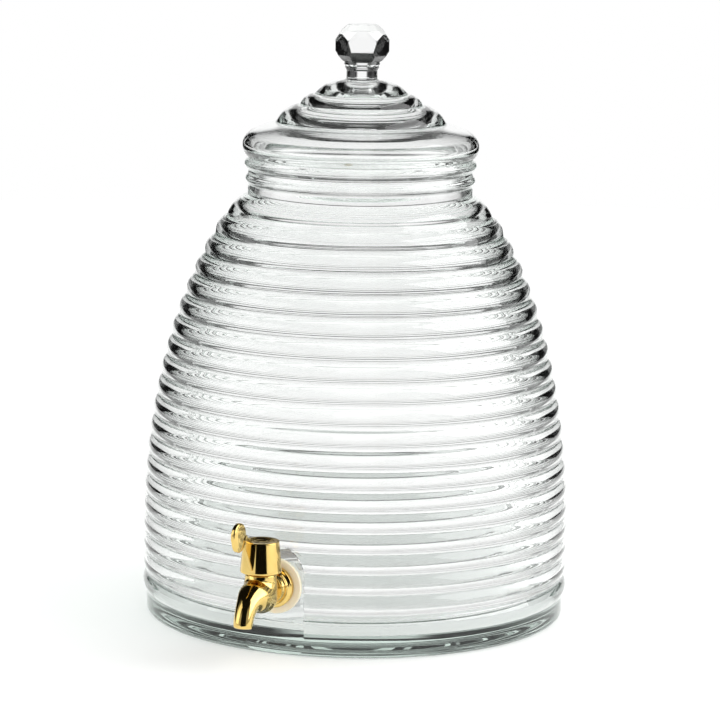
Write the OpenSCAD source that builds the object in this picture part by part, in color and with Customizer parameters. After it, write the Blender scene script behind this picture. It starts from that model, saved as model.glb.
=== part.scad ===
/* [Jar body] */
// Radius of the grooves between the ribs on the straight lower wall
belly_r = 140; // [130:0.5:150]
// Height at which the wall starts to curve in
belly_z = 60; // [40:1:80]
// Groove radius where the ribbed wall ends and the shoulder begins
shoulder_r = 88; // [84:0.5:94]
// Radius left at the apex of the hive curve: larger gives fuller shoulders
crown_r = 8; // [0:1:30]
// Height of the plain band below the lowest groove
base_band_h = 14.5; // [12:0.5:18]
// Height of one rib, groove to groove
rib_pitch = 13.3; // [12:0.1:15]
// Number of full ribs
rib_count = 19; // [15:1:22]
// How far a rib stands out from its two grooves
rib_depth = 2.2; // [1:0.1:3]
// Thickness of the glass wall, measured at the grooves
jar_wall = 5; // [4:0.1:7]
// Thickness of the floor above the push-up
floor_t = 11; // [8:0.5:16]
// Rounding of the inside floor corner
floor_corner_r = 14; // [6:1:24]
// Rounding of the outside heel
heel_r = 4; // [2:0.5:6]
// Radius of the inner edge of the ring that the jar stands on
punt_r = 112; // [90:1:122]
// Height of the push-up under the floor
punt_h = 3; // [1:0.5:5]
// Width of the slope round the push-up
punt_slope_w = 9; // [4:0.5:20]

/* [Neck] */
// Height of the rounded shoulder above the last groove
shoulder_h = 13.5; // [10:0.5:18]
// Outside radius of the neck
neck_r = 74.5; // [72:0.5:78]
// Height of the neck, shoulder to rim
neck_h = 24.5; // [20:0.5:32]
// Section radius of the two neck beads
bead_r = 3.1; // [2:0.1:4]
// How far the lower bead stands out from the neck
low_bead_out = 1.6; // [1:0.1:3]
// How far the lower bead's centre lies below the rim
low_bead_drop = 14; // [11:0.5:18]
// How far the upper bead stands out from the neck
top_bead_out = 2.4; // [1:0.1:3]
// How far the upper bead's centre lies below the rim
top_bead_drop = 4; // [3.5:0.5:6]
// Rounding of the rim's edges
rim_round = 1.5; // [0.5:0.1:2]

/* [Tap pad] */
// Width of the flat pad beside the washer that seats on it
pad_margin = 1.5; // [1:0.1:4]
// Depth of the pad's plane below the groove radius
pad_depth = 1.4; // [1.3:0.1:2]
// Height of the centre of the pad's arched top above the tap's axis
pad_arch_up = 6.5; // [2:0.5:12]
// Height of the tap hole's axis
tap_z = 45.5; // [42:0.5:50]

/* [Lid] */
// How far the lid's rolled rim stands out beyond the neck
lid_overhang = 3.8; // [2:0.1:7]
// Height of the widest point above the seat
lid_rim_h = 8.8; // [7:0.1:11]
// Radius of the lowest ring step of the dome
low_step_r = 56; // [50:0.5:62]
// Height of the lowest ring step above the seat
low_step_z = 23.5; // [20:0.5:28]
// How far the dome bulges above the lowest step
low_step_bulge = 2.7; // [1.5:0.1:3.5]
// Radius of the middle ring step
mid_step_r = 40.5; // [37:0.5:46]
// Height of the middle ring step above the seat
mid_step_z = 35; // [31:0.5:38]
// How far the dome bulges above the middle step
mid_step_bulge = 2; // [1:0.1:2.5]
// Radius of the highest ring step
high_step_r = 31; // [26:0.5:34]
// Height of the highest ring step above the seat
high_step_z = 42; // [40:0.5:45]
// How far the dome bulges above the highest step
high_step_bulge = 2.4; // [1.5:0.1:3.5]
// Height of the flat crown that carries the knob, above the seat
lid_crown_h = 51.5; // [48:0.5:56]
// Thickness of the lid's wall
lid_wall = 4.5; // [3.5:0.1:5.5]
// Thickness of the crown under the knob
crown_t = 6.5; // [5:0.1:9]
// Depth of the locating ring that drops into the neck
lid_plug_h = 9; // [6:0.5:14]
// Radial play of the locating ring in the neck
lid_plug_play = 2; // [1:0.1:3]

/* [Knob] */
// Radius of the knob's stem
stem_r = 10.2; // [8:0.1:12]
// Height of the stem with its foot and collar
stem_h = 10.8; // [9:0.1:14]
// How far the foot and the collar stand out from the stem
stem_lip = 1.2; // [0.5:0.1:2]
// Largest radius of the cut ball
ball_r = 17.1; // [14:0.1:20]
// Height of the cut ball
ball_h = 25.5; // [22:0.1:32]
// Number of facets round the ball
ball_sides = 8; // [6:1:12]

/* [Tap body] */
// Radius of the threaded shank
shank_r = 8; // [7.5:0.05:8.5]
// How far the shank stands out of the nut
shank_proud = 4; // [2:0.5:10]
// Radius of the waterway in the shank
waterway_r = 4; // [3:0.1:4.4]
// Radius of the flange
flange_r = 13.6; // [12:0.1:16]
// Thickness of the flange
flange_t = 5; // [4:0.1:7]
// Height of the flange's plain edge
flange_edge_h = 2; // [1:0.1:3]
// Radius of the shoulder between the flange and the barrel
neck_ring_r = 11; // [10:0.1:12]
// Distance from the pad to the barrel's axis
tap_reach = 25.2; // [23:0.1:28]
// Radius of the barrel
barrel_r = 10.8; // [10.4:0.1:12]
// Radius of the collar at the barrel's top
collar_r = 10.1; // [9.6:0.1:10.4]
// Height of the collar's band
collar_h = 5.8; // [4.5:0.1:7]
// Height of the barrel's top above the shank's axis
barrel_up = 13.7; // [12.5:0.1:16]
// Depth of the barrel's round bottom below the shank's axis
barrel_down = 13; // [12:0.1:15]
// How far the swell under the collar lies in front of the barrel's axis
swell_out = 5; // [2:0.1:8]
// Radius of the swell
swell_r = 10.8; // [9:0.1:12]
// Rounding of the swell's upper edge
swell_round = 3; // [1:0.1:5]
// Depth of the swell below the collar
swell_depth = 17; // [12:0.5:19]

/* [Spout] */
// How far the spout's root lies above the shank's axis
spout_rise = 0.4; // [-2:0.1:1]
// Radius of the spout where it leaves the barrel
spout_root_r = 7.8; // [7:0.1:9]
// Radius of the spout at its outlet
spout_tip_r = 6.1; // [5.2:0.1:7]
// Thickness of the spout's wall at the outlet
spout_wall = 1.4; // [1:0.1:2]
// Straight run from the barrel's axis to the bend
spout_run = 11.5; // [10:0.5:20]
// Radius of the bend
spout_bend_r = 16.5; // [12:0.5:18]
// Angle of the bend
spout_bend = 80; // [60:1:90]
// Straight tail after the bend
spout_tail = 3.5; // [1:0.5:12]

/* [Valve] */
// Radius of the plug's bore in the barrel
bore_r = 6.5; // [6:0.1:7]
// Radius of the port across the plug
port_r = 3.5; // [2.5:0.1:3.8]
// Section radius of the plug's O-rings
o_ring_r = 1; // [0.8:0.05:1.1]
// Width left beside an O-ring in its groove
o_ring_side = 0.3; // [0.2:0.05:0.4]
// Width of the plug's land beside an O-ring groove
plug_land = 0.6; // [0.4:0.1:1]
// Thickness of the plug's end below the lower groove
plug_end = 1.4; // [1:0.1:2]
// Radius of the plug's stem
spindle_r = 4; // [3.5:0.1:4.5]
// Width of the square drive on the stem
drive_w = 5.2; // [4.5:0.1:5.6]
// Thickness of the slip ring between the plug and the bonnet
slip_ring_t = 0.8; // [0.6:0.1:1]
// How much wider the bonnet's thread is than the bore
bonnet_lap = 1.5; // [1.1:0.1:1.9]
// Height of the bonnet's hexagon
bonnet_head_h = 3; // [2:0.1:4]
// Width across the hexagon's corners
bonnet_corners = 18; // [17.5:0.1:19]

/* [Handle] */
// Radius of the handle's skirt at the bottom
handle_r = 13.2; // [12.6:0.1:14]
// Radius of the handle at the top
handle_top_r = 11.5; // [11:0.1:12]
// Height of the handle's round cap
handle_h = 20.1; // [18:0.1:26]
// Thickness of the skirt
skirt_t = 1.8; // [1.4:0.1:2]
// Gap between the bonnet's hexagon and the handle's hub
hub_gap = 1.2; // [0.5:0.1:2]
// Angle of the lever from the spout's plane, towards -X
lever_turn = 5; // [0:1:20]
// Distance from the handle's axis to the middle of the paddle
paddle_reach = 30.5; // [28:0.5:36]
// Height of the paddle's middle above the handle's lower edge
paddle_up = 27.5; // [24:0.5:34]
// Width of the paddle's upper end
paddle_w = 15.5; // [12:0.1:18]
// Width of the paddle's lower end
paddle_foot_w = 12.4; // [8:0.1:15]
// Height of the paddle
paddle_h = 18.6; // [16:0.1:24]
// Thickness of the paddle
paddle_t = 4.4; // [3.5:0.1:6]
// Thickness of the web that carries the paddle
web_t = 2.2; // [1.8:0.1:3.5]
// Height of the web's foot above the handle's lower edge
web_foot = 3.2; // [1:0.1:6]
// Depth of the web's upper edge below the handle's top
web_top_drop = 2; // [1:0.1:5]
// How far the web's lower edge ends inwards of the paddle's middle
web_low_in = 6.5; // [3:0.1:7]
// How far the web's lower edge ends below the paddle's middle
web_low_drop = 7.4; // [4:0.1:8]
// How far the web's upper edge ends inwards of the paddle's middle
web_high_in = 6.2; // [3:0.1:7]
// How far the web's upper edge ends above the paddle's middle
web_high_up = 2.2; // [0:0.1:4]

/* [Handle button and screw] */
// Radius of the button set into the handle's top
button_r = 7.8; // [7:0.1:8.4]
// Thickness of the button
button_t = 2.2; // [1.6:0.1:3]
// Depth of the button's face below the handle's top
button_sink = 0.4; // [0.2:0.1:1]
// Width of the ledge that the button sits on
button_ledge = 1.5; // [1:0.1:2.5]
// Width of a raised ring on the button
ring_w = 0.95; // [0.6:0.05:1.2]
// Width of the groove between the rings
groove_w = 2.2; // [1.4:0.1:2.6]
// Radius of the screw's thread
screw_r = 1.5; // [1.2:0.05:1.7]
// Length of the screw under its head
screw_l = 10; // [7:0.5:12]
// Radius of the screw's head
screw_head_r = 3; // [2.5:0.1:3.6]
// Height of the screw's head
screw_head_h = 2; // [1.5:0.1:2.4]
// Width of the cross slot in the screw's head
slot_w = 0.8; // [0.6:0.1:1]
// Depth of the cross slot
slot_depth = 1; // [0.6:0.1:1.2]
// Thickness of the hub's web between the square drive and the screw's head
hub_web = 3; // [2:0.1:4]

/* [Seals and nut] */
// Radius of the soft washer outside the glass
outer_washer_r = 18; // [16:0.1:19]
// Radius of the soft washer inside the glass
inner_washer_r = 14; // [12:0.1:15]
// Thickness of both washers
washer_t = 3; // [2:0.1:4]
// Width across the lock nut's corners
nut_corners = 28; // [24:0.5:32]
// Thickness of the lock nut
nut_t = 8; // [6:0.5:10]

/* [Fits] */
// Radial clearance of a turning fit
run_fit = 0.05; // [0.02:0.01:0.1]
// Radial clearance of a screwed fit
thread_fit = 0.05; // [0.02:0.01:0.1]
// Gap between parts that pass each other
pass_gap = 0.3; // [0.3:0.05:0.5]
// Radial play of the shank in the glass
hole_play = 0.75; // [0.4:0.05:1.2]

/* [Hidden] */
$fn = 96;

// Colours of the materials
glass_tint = [0.86, 0.92, 0.91, 0.35];
gold_tint = "goldenrod";
brass_tint = "peru";
soft_tint = "antiquewhite";
plastic_tint = "white";
ring_tint = "dimgray";

// How far a cut runs past the face that it opens
over = 1;
// Width of the small broken edges
edge = 0.6;
// How far a profile's core stays behind the ends of its bulges, so that the bulges cover it
core_in = 2;

// Heights up the jar
shoulder_z = base_band_h + rib_pitch * rib_count;
neck_z = shoulder_z + shoulder_h;
rim_z = neck_z + neck_h;
floor_z = punt_h + floor_t;
crown_z = rim_z + lid_crown_h;

// Hive curve: a quarter ellipse from the belly to the shoulder, and straight below the belly
hive_h = (shoulder_z - belly_z)
       / sqrt(1 - pow((shoulder_r - crown_r) / (belly_r - crown_r), 2));
function hive_r(z) = z <= belly_z ? belly_r
    : crown_r + (belly_r - crown_r) * sqrt(1 - pow((z - belly_z) / hive_h, 2));
grooves = [for (k = [0 : rib_count]) let (z = base_band_h + rib_pitch * k) [hive_r(z), z]];
neck_foot = [neck_r, neck_z];
mouth_r = neck_r - jar_wall;

// Lid: rim, ring steps and locating ring, with heights counted from the seat
lid_r = neck_r + lid_overhang;
lid_foot_r = neck_r - rim_round;
lid_plug_r = mouth_r - lid_plug_play;
steps = [[low_step_r, low_step_z], [mid_step_r, mid_step_z], [high_step_r, high_step_z]];
// Fullness of a quarter round, of the dome's rise and of its run, and the dome's slope at its first step
rim_full = 0.55;
dome_rise_full = 0.46;
dome_run_full = 0.54;
dome_slope = 0.2;
// Angle of the dome's wall from the vertical, across which its thickness is measured
dome_lean = 53;

// Facet rows of the cut ball: shares of its radius and of its height
ball_rows = [[0.72, 0], [0.92, 0.17], [1, 0.44], [0.92, 0.72], [0.56, 1]];

// Tap: planes along its own axis, counted outwards from the pad
pad_plane = belly_r - pad_depth;
pad_w = 2 * (outer_washer_r + pad_margin);
tap_hole_r = shank_r + hole_play;
flange_back = washer_t;
flange_front = flange_back + flange_t;
nut_back = -jar_wall - washer_t - nut_t;
shank_end = nut_back - shank_proud;
neck_step = 2;

// Tap: heights of the valve's pieces
barrel_top = tap_z + barrel_up;
collar_z = barrel_top - collar_h;
ring_drop = port_r + plug_land + o_ring_side + o_ring_r;
ring_room = o_ring_r + o_ring_side;
lower_ring_z = tap_z - ring_drop;
upper_ring_z = tap_z + ring_drop;
bore_floor = lower_ring_z - ring_room - plug_end - pass_gap;
plug_r = bore_r - run_fit;
plug_top = upper_ring_z + ring_room + plug_land;
bonnet_r = bore_r + bonnet_lap;
bonnet_z = plug_top + slip_ring_t + pass_gap;
bonnet_top = barrel_top + bonnet_head_h;
handle_z = barrel_top + pass_gap;
handle_top = handle_z + handle_h;
hub_z = bonnet_top + hub_gap;
button_seat = handle_top - button_t - button_sink;
screw_seat = button_seat - screw_head_h - 2 * pass_gap;
drive_top = screw_seat - hub_web;
paddle_z = handle_z + paddle_up;

// Spout: its middle line runs forwards, bends down and ends in a short tail; u is forwards, then height
spout_start = 3;
spout_steps = 4;
spout_axis_z = tap_z + spout_rise;
spout_centre = [spout_run, spout_axis_z - spout_bend_r];
spout_heading = [cos(spout_bend), -sin(spout_bend)];
spout_path = concat(
    [for (i = [0 : spout_steps - 1])
        [spout_start + (spout_run - spout_start) * i / spout_steps, spout_axis_z]],
    arc(spout_centre, spout_bend_r, 90, 90 - spout_bend, 9),
    [spout_centre + spout_bend_r * [sin(spout_bend), cos(spout_bend)] + spout_tail * spout_heading]);
spout_n = len(spout_path) - 1;
function tapered(from, to) = [for (i = [0 : spout_n]) from + (to - from) * i / spout_n];

// Points along a cubic curve
function curve(a, b, c, d, n = 8) = [for (i = [0 : n]) let (t = i / n, s = 1 - t)
    a * s * s * s + 3 * b * s * s * t + 3 * c * s * t * t + d * t * t * t];

// Points along a circular arc, from one angle to another
function arc(centre, r, from, to, n = 6) = [for (i = [0 : n])
    let (a = from + (to - from) * i / n) centre + r * [cos(a), sin(a)]];

// Disc whose rim bulges by `rise` beyond the chord from a to b of a profile
module bulge(a, b, rise) {
    chord = norm(b - a);
    r = chord * chord / (8 * rise) + rise / 2;
    outward = [b[1] - a[1], a[0] - b[0]] / chord;
    translate((a + b) / 2 - outward * (r - rise)) circle(r);
}

// Half plane that a profile is turned from
module turning_side() square([2 * belly_r, 2 * crown_z]);

// Frame of the tap: +Z out of the pad, +Y up
module at_tap() translate([0, -pad_plane, tap_z]) rotate([90, 0, 0]) children();

// Frame of the valve: +Z up the barrel's axis, heights counted from the table
module at_barrel() translate([0, -pad_plane - tap_reach, 0]) children();

// Cylinder between two heights
module cylinder_span(r, from, to) translate([0, 0, from]) cylinder(r = r, h = to - from);

// Square bar between two heights
module square_span(w, from, to) translate([-w / 2, -w / 2, from]) cube([w, w, to - from]);

// Ring with square edges
module washer(r_out, r_in, t) difference() {
    cylinder(r = r_out, h = t);
    cylinder_span(r_in, -over, t + over);
}

// Hexagon with both ends chamfered by a turned outline
module hexagon(corners, h) intersection() {
    cylinder(d = corners, h = h, $fn = 6);
    cylinder(r1 = corners / 2 - edge, r2 = corners / 2 - edge + h, h = h);
    cylinder(r1 = corners / 2 - edge + h, r2 = corners / 2 - edge, h = h);
}

// Tube swept along points with one radius each; a point gives the way forwards and the height
module horn(path, radii, sides = 24) {
    n = len(path);
    function heading(i) = let (d = path[min(i + 1, n - 1)] - path[max(i - 1, 0)]) d / norm(d);
    points = [for (i = [0 : n - 1], k = [0 : sides - 1])
        let (h = heading(i), a = 360 * k / sides, up = radii[i] * cos(a))
        [radii[i] * sin(a), -path[i][0] + h[1] * up, path[i][1] + h[0] * up]];
    walls = [for (i = [0 : n - 2], k = [0 : sides - 1])
        let (a = i * sides + k, b = i * sides + (k + 1) % sides)
        each [[a, b, b + sides], [a, b + sides, a + sides]]];
    ends = [[for (k = [sides - 1 : -1 : 0]) k], [for (k = [0 : sides - 1]) (n - 1) * sides + k]];
    polyhedron(points, concat(walls, ends));
}

// Jar: blown glass, ribbed outside and smooth inside, with a push-up under a thick floor
module jar_outline() {
    polygon(concat(
        [[0, 0]],
        arc([belly_r - heel_r, heel_r], heel_r, -90, 0),
        [[belly_r, base_band_h + core_in / 2]],
        [for (g = grooves) g - [core_in, 0]],
        [neck_foot - [0, 2 * core_in]],
        arc([neck_r - rim_round, rim_z - rim_round], rim_round, 0, 90),
        [[0, rim_z]]));
    for (k = [0 : rib_count - 1]) bulge(grooves[k], grooves[k + 1], rib_depth);
    bulge(grooves[rib_count], neck_foot, rib_depth);
    neck_bead(low_bead_out, low_bead_drop);
    neck_bead(top_bead_out, top_bead_drop);
}

module neck_bead(out, drop) translate([neck_r + out - bead_r, rim_z - drop]) circle(bead_r);

module jar_cavity() {
    inner_r = belly_r - jar_wall;
    polygon(concat(
        [[0, floor_z]],
        arc([inner_r - floor_corner_r, floor_z + floor_corner_r], floor_corner_r, -90, 0),
        [for (g = grooves) if (g[1] > floor_z + floor_corner_r) g - [jar_wall, 0]],
        [[mouth_r, neck_z], [mouth_r, rim_z - rim_round],
         [mouth_r + rim_round, rim_z + over], [0, rim_z + over]]));
}

module jar_punt() polygon([
    [0, -over], [punt_r, -over], [punt_r, 0], [punt_r - punt_slope_w, punt_h], [0, punt_h]]);

// Outline of the tap pad, which runs out through the heel
module pad_outline() {
    translate([-pad_w / 2, -tap_z - over]) square([pad_w, tap_z + over + pad_arch_up]);
    translate([0, pad_arch_up]) circle(d = pad_w);
}

module glass_jar() color(glass_tint) difference() {
    rotate_extrude() intersection() {
        difference() {
            jar_outline();
            jar_punt();
        }
        turning_side();
    }
    difference() {
        rotate_extrude() jar_cavity();
        at_tap() translate([0, 0, -jar_wall]) linear_extrude(2 * jar_wall) pad_outline();
    }
    at_tap() linear_extrude(2 * tap_reach) pad_outline();
    at_tap() cylinder(r = tap_hole_r, h = 4 * jar_wall, center = true);
}

// Lid: hollow blown glass with a rolled rim, ring steps and a ring that drops into the neck
function dome(rim, step) = curve(
    rim, rim + [0, dome_rise_full * (step[1] - rim[1])],
    step + dome_run_full * (rim[0] - step[0]) * [1, -dome_slope], step);

module lid_outline() {
    rim = [lid_r, lid_rim_h];
    crown = [stem_r + stem_lip, lid_crown_h];
    polygon(concat(
        [[0, 0]],
        curve([lid_foot_r, 0], [lid_foot_r + rim_full * (lid_r - lid_foot_r), 0],
              [lid_r, (1 - rim_full) * lid_rim_h], rim),
        dome(rim, steps[0]),
        [for (p = steps) p - [core_in, core_in / 2]],
        [crown - [core_in, core_in / 2], [crown[0] - core_in, lid_crown_h], [0, lid_crown_h]]));
    bulge(steps[0], steps[1], low_step_bulge);
    bulge(steps[1], steps[2], mid_step_bulge);
    bulge(steps[2], crown, high_step_bulge);
}

module lid_hollow() {
    ring_r = lid_plug_r - lid_wall;
    rim = [lid_r - lid_wall, lid_rim_h];
    inner_steps = [for (p = steps) p - lid_wall * [cos(dome_lean), sin(dome_lean)]];
    ceiling = lid_crown_h - crown_t;
    polygon(concat(
        [[0, -lid_plug_h - over], [ring_r, -lid_plug_h - over], [ring_r, lid_wall - rim_round]],
        curve([ring_r + rim_round, lid_wall], [rim[0] - rim_round, lid_wall],
              [rim[0], lid_wall + rim_round], rim),
        dome(rim, inner_steps[0]),
        inner_steps,
        [[stem_r, ceiling], [0, ceiling]]));
}

module lid() color(glass_tint) translate([0, 0, rim_z]) rotate_extrude() intersection() {
    difference() {
        union() {
            lid_outline();
            translate([0, -lid_plug_h]) square([lid_plug_r, lid_plug_h + over]);
        }
        lid_hollow();
    }
    translate([0, -lid_plug_h]) turning_side();
}

// Knob: ball of cut crystal on a turned stem, bonded to the lid's crown
module lid_knob() color(glass_tint) translate([0, 0, crown_z]) {
    lip_r = stem_r + stem_lip;
    rotate_extrude() polygon(concat(
        [[0, 0], [lip_r, 0]],
        arc([lip_r, stem_lip], stem_lip, 270, 180),
        [[stem_r, stem_h - 4 * stem_lip], [lip_r, stem_h - 2 * stem_lip],
         [stem_r + stem_lip / 2, stem_h - 1.5 * stem_lip], [lip_r + 0.8 * stem_lip, stem_h], [0, stem_h]]));
    translate([0, 0, stem_h]) cut_ball();
}

// Rings of corners, each turned half a facet from the last, joined by triangles
module cut_ball() {
    n = ball_sides;
    last = len(ball_rows) - 1;
    points = [for (i = [0 : last], k = [0 : n - 1])
        let (a = 360 * (k + (i % 2) / 2) / n, r = ball_r * ball_rows[i][0])
        [r * cos(a), r * sin(a), ball_h * ball_rows[i][1]]];
    facets = [for (i = [0 : last - 1], k = [0 : n - 1])
        let (a = i * n + k, b = i * n + (k + 1) % n,
             c = (i + 1) * n + k, d = (i + 1) * n + (k + 1) % n)
        each (i % 2 == 0 ? [[a, c, b], [b, c, d]] : [[a, d, b], [a, c, d]])];
    ends = [[for (k = [0 : n - 1]) k], [for (k = [n - 1 : -1 : 0]) last * n + k]];
    polyhedron(points, concat(facets, ends));
}

// Soft washers on both sides of the glass and the nut that draws the tap up on them
module outer_washer() color(soft_tint) at_tap()
    washer(outer_washer_r, shank_r + pass_gap, washer_t);

module inner_washer() color(soft_tint) at_tap() translate([0, 0, nut_back + nut_t])
    washer(inner_washer_r, shank_r + pass_gap, washer_t);

module lock_nut() color(plastic_tint) at_tap() translate([0, 0, nut_back]) difference() {
    hexagon(nut_corners, nut_t);
    cylinder_span(shank_r + thread_fit, -over, nut_t + over);
}

// Tap body: cast barrel with its swell, spout, flange and hollow shank in one piece
module tap_casting() {
    at_barrel() rotate_extrude() polygon(concat(
        arc([0, tap_z - barrel_down + barrel_r], barrel_r, -90, 0, 9),
        [[barrel_r, collar_z - edge], [barrel_r - edge, collar_z],
         [collar_r, collar_z], [collar_r, barrel_top], [0, barrel_top]]));
    at_barrel() translate([0, -swell_out, 0]) rotate_extrude() spout_swell();
    at_barrel() horn(spout_path, tapered(spout_root_r, spout_tip_r));
    at_tap() rotate_extrude() polygon(concat(
        [[0, shank_end], [shank_r - edge, shank_end], [shank_r, shank_end + edge], [shank_r, flange_back],
         [flange_r - edge, flange_back], [flange_r, flange_back + edge]],
        curve([flange_r, flange_back + flange_edge_h], [flange_r, flange_front],
              [neck_ring_r + neck_step / 2, flange_front - neck_step], [neck_ring_r, flange_front]),
        [[neck_ring_r - edge, flange_front + neck_step],
         [neck_ring_r - neck_step, flange_front + 2 * neck_step],
         [neck_ring_r - neck_step, tap_reach], [0, tap_reach]]));
}

// Egg-shaped outline of the swell, rounded at its top edge
module spout_swell() {
    top = collar_z - edge / 2;
    foot = top - swell_depth;
    brow = top - swell_round;
    polygon(concat(
        curve([0, foot], [rim_full * swell_r, foot],
              [swell_r, brow - rim_full * (brow - foot)], [swell_r, brow]),
        arc([swell_r - swell_round, brow], swell_round, 0, 90),
        [[0, top]]));
}

module tap_body() color(gold_tint) difference() {
    tap_casting();
    at_barrel() cylinder_span(bore_r, bore_floor, barrel_top + over);
    at_barrel() cylinder_span(bonnet_r + thread_fit, bonnet_z, barrel_top + over);
    at_barrel() horn(concat(spout_path, [spout_path[spout_n] + over * spout_heading]),
                     concat(tapered(port_r, spout_tip_r - spout_wall), [spout_tip_r - spout_wall]), 16);
    at_tap() cylinder_span(waterway_r, shank_end - over, tap_reach);
}

// Valve: a plug with a cross port, its rings, and the bonnet that holds it down
module o_ring(z) at_barrel() translate([0, 0, z])
    rotate_extrude() translate([plug_r - o_ring_r, 0]) circle(o_ring_r, $fn = 32);

module plug_groove(z) translate([0, 0, z - ring_room])
    washer(bore_r + over, plug_r - 2 * o_ring_r, 2 * ring_room);

module valve_plug() color(brass_tint) at_barrel() difference() {
    union() {
        cylinder_span(plug_r, bore_floor + pass_gap, plug_top);
        cylinder_span(spindle_r, plug_top - over, hub_z);
        square_span(drive_w, hub_z - over, drive_top);
    }
    plug_groove(lower_ring_z);
    plug_groove(upper_ring_z);
    translate([0, 0, tap_z]) rotate([0, 90, 0]) cylinder(r = port_r, h = 4 * bore_r, center = true);
    cylinder_span(screw_r + thread_fit, screw_seat - screw_l - over, drive_top + over);
}

module upper_o_ring() color(ring_tint) o_ring(upper_ring_z);

module lower_o_ring() color(ring_tint) o_ring(lower_ring_z);

module slip_ring() color(plastic_tint) at_barrel() translate([0, 0, plug_top])
    washer(bore_r - pass_gap, spindle_r + run_fit, slip_ring_t);

module bonnet() color(brass_tint) at_barrel() difference() {
    union() {
        cylinder_span(bonnet_r, bonnet_z, barrel_top + edge);
        translate([0, 0, barrel_top]) hexagon(bonnet_corners, bonnet_head_h);
    }
    cylinder_span(spindle_r + run_fit, bonnet_z - over, bonnet_top + over);
}

// Handle: hollow cap with a hub on the square drive, a web and a paddle, in one casting
module paddle_disc(r) {
    round_r = paddle_t / 3;
    half_flat = paddle_t / 8;
    rotate_extrude($fn = 32) polygon(concat(
        [[0, -paddle_t / 2]],
        arc([r - round_r, -half_flat], round_r, -70, 0, 3),
        arc([r - round_r, half_flat], round_r, 0, 70, 3),
        [[0, paddle_t / 2]]));
}

module paddle() translate([paddle_reach, 0, paddle_z]) rotate([90, 0, 0]) hull() {
    translate([0, (paddle_h - paddle_w) / 2]) paddle_disc(paddle_w / 2);
    translate([0, (paddle_foot_w - paddle_h) / 2]) paddle_disc(paddle_foot_w / 2);
}

module handle_web() translate([0, web_t / 2, 0]) rotate([90, 0, 0]) linear_extrude(web_t) polygon([
    [handle_top_r - edge, handle_z + web_foot],
    [handle_r - edge, handle_z + web_foot],
    [paddle_reach - web_low_in, paddle_z - web_low_drop],
    [paddle_reach, paddle_z],
    [paddle_reach - web_high_in, paddle_z + web_high_up],
    [handle_top_r - 2 * edge, handle_top - web_top_drop]]);

module handle_cap() rotate_extrude() polygon(concat(
    [[0, handle_z], [handle_r - edge, handle_z], [handle_r, handle_z + edge]],
    arc([handle_top_r - edge, handle_top - edge], edge, 0, 90, 4),
    [[0, handle_top]]));

module tap_handle() color(gold_tint) at_barrel() difference() {
    union() {
        handle_cap();
        rotate([0, 0, -90 - lever_turn]) {
            handle_web();
            paddle();
        }
    }
    cylinder_span(handle_r - skirt_t, handle_z - over, hub_z);
    square_span(drive_w + 2 * run_fit, hub_z - over, drive_top + pass_gap);
    cylinder_span(screw_r + pass_gap, drive_top - over, handle_top);
    cylinder_span(button_r - button_ledge, screw_seat, handle_top + over);
    cylinder_span(button_r, button_seat, handle_top + over);
}

module handle_screw() color("silver") at_barrel() difference() {
    head_top = screw_seat + screw_head_h;
    union() {
        cylinder_span(screw_r, screw_seat - screw_l, screw_seat + edge);
        cylinder_span(screw_head_r, screw_seat, head_top);
    }
    for (a = [0, 90]) translate([0, 0, head_top]) rotate(a)
        cube([1.2 * screw_head_r, slot_w, 2 * slot_depth], center = true);
}

// Button: turned disc with raised rings that closes the handle's top over the screw
module handle_button() {
    low = button_t - edge;
    ring_in = button_r - ring_w;
    inner_ring_out = ring_in - groove_w;
    inner_ring_in = inner_ring_out - ring_w;
    color(gold_tint) at_barrel() translate([0, 0, button_seat]) rotate_extrude() polygon([
        [0, 0], [button_r, 0], [button_r, button_t], [ring_in, button_t], [ring_in - edge, low],
        [inner_ring_out + edge, low], [inner_ring_out, button_t],
        [inner_ring_in, button_t], [inner_ring_in - edge, low], [0, low]]);
}

glass_jar();
lid();
lid_knob();
outer_washer();
inner_washer();
lock_nut();
tap_body();
valve_plug();
upper_o_ring();
lower_o_ring();
slip_ring();
bonnet();
tap_handle();
handle_screw();
handle_button();
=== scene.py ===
import math

import bmesh
import bpy
from mathutils import Matrix, Vector


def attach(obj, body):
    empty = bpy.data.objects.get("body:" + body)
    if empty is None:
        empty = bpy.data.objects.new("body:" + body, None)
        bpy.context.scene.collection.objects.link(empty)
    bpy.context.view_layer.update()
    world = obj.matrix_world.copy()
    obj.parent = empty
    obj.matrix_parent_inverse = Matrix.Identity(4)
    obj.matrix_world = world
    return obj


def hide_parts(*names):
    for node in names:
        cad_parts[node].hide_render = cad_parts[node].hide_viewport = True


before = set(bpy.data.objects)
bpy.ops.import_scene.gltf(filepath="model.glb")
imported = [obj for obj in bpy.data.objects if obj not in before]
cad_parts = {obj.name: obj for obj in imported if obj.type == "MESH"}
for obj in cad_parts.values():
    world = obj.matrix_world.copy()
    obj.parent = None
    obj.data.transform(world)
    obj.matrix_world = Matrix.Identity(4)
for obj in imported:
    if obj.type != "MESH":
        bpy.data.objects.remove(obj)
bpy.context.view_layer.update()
scene = bpy.context.scene
scene.view_settings.view_transform = "Standard"

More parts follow.
